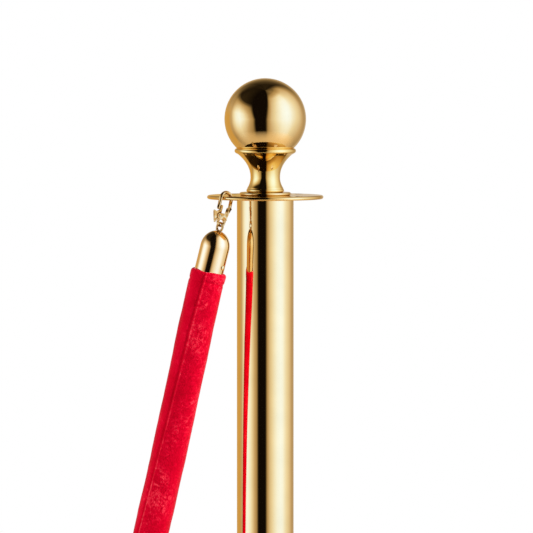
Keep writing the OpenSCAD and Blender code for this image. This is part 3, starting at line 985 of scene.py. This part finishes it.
keep(iron(), "base_weight")
keep(STEEL, "base_bolt", "base_washer", "tube_foot_plug", "tube_top_plug", "finial_stud", "finial_nut")
keep(STEEL, "swivel_rivet_a", "swivel_rivet_b")
keep(wood(), "cap_plug_a", "cap_plug_b")


# ---- floor and light ----

FLOOR_MIDDLE = 0.4
FLOOR_RADIUS = 1.5
FLOOR_FADE_FROM = 0.6
FLOOR_SIDES = 96
# What the metal's reflections see of the floor
FLOOR_MIRRORED = (0.54, 0.43, 0.30, 1)


def make_floor():
    """A pale disc that fades into the white surroundings, and looks duller in the metal."""
    mesh = bpy.data.meshes.new("floor")
    vertices = []
    for r in (FLOOR_MIDDLE, FLOOR_RADIUS):
        for k in range(FLOOR_SIDES):
            a = 2 * math.pi * k / FLOOR_SIDES
            vertices.append((r * math.cos(a), r * math.sin(a), 0))
    faces = [tuple(range(FLOOR_SIDES))]
    for k in range(FLOOR_SIDES):
        m = (k + 1) % FLOOR_SIDES
        faces.append((k, FLOOR_SIDES + k, FLOOR_SIDES + m, m))
    mesh.from_pydata(vertices, [], faces)
    floor = link("floor", mesh)
    made, tree, shader = surface("pale_floor", {"Roughness": 0.55, "Specular IOR Level": 0.2})
    where = place(tree)
    pale = tint(tree, grain(tree, where, 6, 4), [(0.3, (0.76, 0.75, 0.72)), (0.7, (0.80, 0.79, 0.76))])
    mirrored = node(tree, "ShaderNodeLightPath").outputs["Is Glossy Ray"]
    mixed = {0: mirrored, 6: pale, 7: FLOOR_MIRRORED}
    colour = node(tree, "ShaderNodeMix", mixed, data_type="RGBA").outputs[2]
    tree.links.new(colour, shader.inputs["Base Color"])
    distance = node(tree, "ShaderNodeVectorMath", {0: where}, operation="LENGTH").outputs["Value"]
    fade = ranged(tree, distance, FLOOR_FADE_FROM, FLOOR_RADIUS, 1.0, 0.0)
    # The smooth minimum rounds off the start of the fade, and leaves the middle 92% opaque
    fade = math_node(tree, "SMOOTH_MIN", fade, 1.0)
    tree.links.new(fade, shader.inputs["Alpha"])
    mesh.materials.append(made)


def ramp(tree, value, stops):
    """A grey ramp: what a direction's angle gives in brightness."""
    return tint(tree, value, [(position, (level, level, level)) for position, level in stops])


# Brightness round the horizon by direction, in degrees to the right of the camera
HORIZON = [
    (-180, 0.35), (-165, 0.3), (-147, 0.2), (-129, 0.3), (-112, 0.32), (-101, 0.62), (-90, 0.85),
    (-77, 0.95), (-62, 0.75), (-53, 0.56), (-44, 0.36), (-36, 0.2), (-31, 0.05), (-28, 0),
    (1, 0), (4, 0.04), (8, 0.2), (16, 0.45), (22, 0.55), (30, 0.67), (38, 0.78), (51, 0.94),
    (65, 1.0), (75, 0.95), (86, 0.78), (97, 0.66), (110, 0.55), (125, 0.4), (135, 0.28),
    (147, 0.2), (165, 0.35), (180, 0.35),
]
# Brightness by height, in degrees above the horizon: to the left, to the right and behind
LEFT_HEIGHTS = [
    (-90, 0.4), (-30, 0.56), (-14, 0.8), (0, 1), (12, 0.97), (20, 0.75), (29, 0.45), (35, 0.12),
    (40, 0.01), (90, 0),
]
RIGHT_HEIGHTS = [
    (-90, 0.5), (-29, 0.74), (-14, 0.85), (0, 0.97), (14, 1), (30, 0.98), (44, 0.9), (59, 0.68), (68, 0.3),
    (75, 0.12), (90, 0.03),
]
BACK_HEIGHTS = [
    (-90, 0.6), (-10, 1), (2, 1), (12, 0.75), (22, 0.5), (32, 0.25), (48, 0.08), (63, 0.02), (90, 0.02),
]
# Strength of the light that the metal reflects, and of the plain light on cloth and floor
LIGHT_PEAK = 2.6
PLAIN_LIGHT = 0.3
WHITE = (1, 1, 1, 1)
# Colour of the warm panel, as shares of LIGHT_PEAK
WARM_LIGHT = (0.255, 0.165, 0.055, 1)
# Colour of the reflected light by its brightness from 0 to 1
LIGHT_COLOURS = [
    (0, (0.006, 0.004, 0.003)), (0.15, (0.40, 0.30, 0.17)), (0.35, (0.64, 0.53, 0.40)),
    (0.6, (0.91, 0.95, 1.0)), (0.8, (1.02, 1.25, 1.8)), (1.0, (1.06, 1.45, 2.6)),
]


def studio_light():
    """Plain white for the camera, a plain level for cloth, and tuned soft boxes in reflections.

    The soft boxes stand left, right and behind, with a dark gap on the camera's side.
    """
    world = bpy.data.worlds.new("studio")
    bpy.context.scene.world = world
    world.use_nodes = True
    tree = world.node_tree
    tree.nodes.clear()
    direction = node(tree, "ShaderNodeTexCoord").outputs["Generated"]
    x, y, z = node(tree, "ShaderNodeSeparateXYZ", {0: direction}).outputs
    azimuth = math_node(tree, "ARCTAN2", x, math_node(tree, "MULTIPLY", y, -1))
    elevation = math_node(tree, "ARCSINE", z)
    to_right = ranged(tree, math_node(tree, "SINE", azimuth), -0.25, 0.25, 0, 1)
    to_back = ranged(tree, math_node(tree, "COSINE", azimuth), -0.6, -0.9, 0, 1)
    # The left soft box leans outwards above the horizon
    to_left = ranged(tree, math_node(tree, "SINE", azimuth), -0.5, -0.1, 0.4, -0.12)
    lean = math_node(tree, "MULTIPLY", math_node(tree, "MAXIMUM", elevation, 0), to_left)
    around = ranged(tree, math_node(tree, "ADD", azimuth, lean), -math.pi, math.pi, 0, 1)
    height = ranged(tree, elevation, -math.pi / 2, math.pi / 2, 0, 1)
    horizon = ramp(tree, around, [((a + 180) / 360, level) for a, level in HORIZON])
    left, right, behind = (
        ramp(tree, height, [((a + 90) / 180, level) for a, level in heights])
        for heights in (LEFT_HEIGHTS, RIGHT_HEIGHTS, BACK_HEIGHTS)
    )
    upright = node(tree, "ShaderNodeMix", {0: to_right, 2: left, 3: right}).outputs[0]
    upright = node(tree, "ShaderNodeMix", {0: to_back, 2: upright, 3: behind}).outputs[0]
    level = math_node(tree, "MULTIPLY", horizon, upright)
    shares = [(at, tuple(c / LIGHT_PEAK for c in colour)) for at, colour in LIGHT_COLOURS]
    colour = tint(tree, level, shares)
    # A warm panel low behind the post on its left
    low = ranged(tree, elevation, 0.05, 0.3, 1, 0)
    warm = math_node(tree, "MULTIPLY", ranged(tree, azimuth, -2.2, -2.0, 1, 0), low)
    colour = node(tree, "ShaderNodeMix", {0: warm, 6: colour, 7: WARM_LIGHT}, data_type="RGBA").outputs[2]
    mirrored, plain, white = (
        node(tree, "ShaderNodeBackground", {"Color": light, "Strength": strength}).outputs[0]
        for light, strength in ((colour, LIGHT_PEAK), (WHITE, PLAIN_LIGHT), (WHITE, 1.0))
    )
    rays = node(tree, "ShaderNodeLightPath").outputs
    inputs = {0: rays["Is Glossy Ray"], 1: plain, 2: mirrored}
    lit = node(tree, "ShaderNodeMixShader", inputs).outputs[0]
    inputs = {0: rays["Is Camera Ray"], 1: lit, 2: white}
    shown = node(tree, "ShaderNodeMixShader", inputs).outputs[0]
    node(tree, "ShaderNodeOutputWorld", {"Surface": shown})


def soft_lamp(name, place_at, look_at, size, power):
    """A soft light that shapes cloth and floor; the soft boxes give the metal its reflections."""
    data = bpy.data.lights.new(name, "AREA")
    data.shape = "SQUARE"
    data.size = size
    data.energy = power
    lamp = bpy.data.objects.new(name, data)
    bpy.context.scene.collection.objects.link(lamp)
    lamp.location = place_at
    lamp.rotation_mode = "QUATERNION"
    lamp.rotation_quaternion = (Vector(look_at) - Vector(place_at)).to_track_quat("-Z", "Y")
    lamp.visible_glossy = False
    lamp.visible_camera = False


make_floor()
studio_light()
POST_MIDDLE = (0, 0, 0.6)
soft_lamp("key_light", (2.6, -0.9, 1.9), POST_MIDDLE, size=1.0, power=160)
soft_lamp("fill_light", (-2.6, -1.3, 1.3), POST_MIDDLE, size=1.4, power=75)
bpy.context.scene.view_settings.view_transform = "Standard"
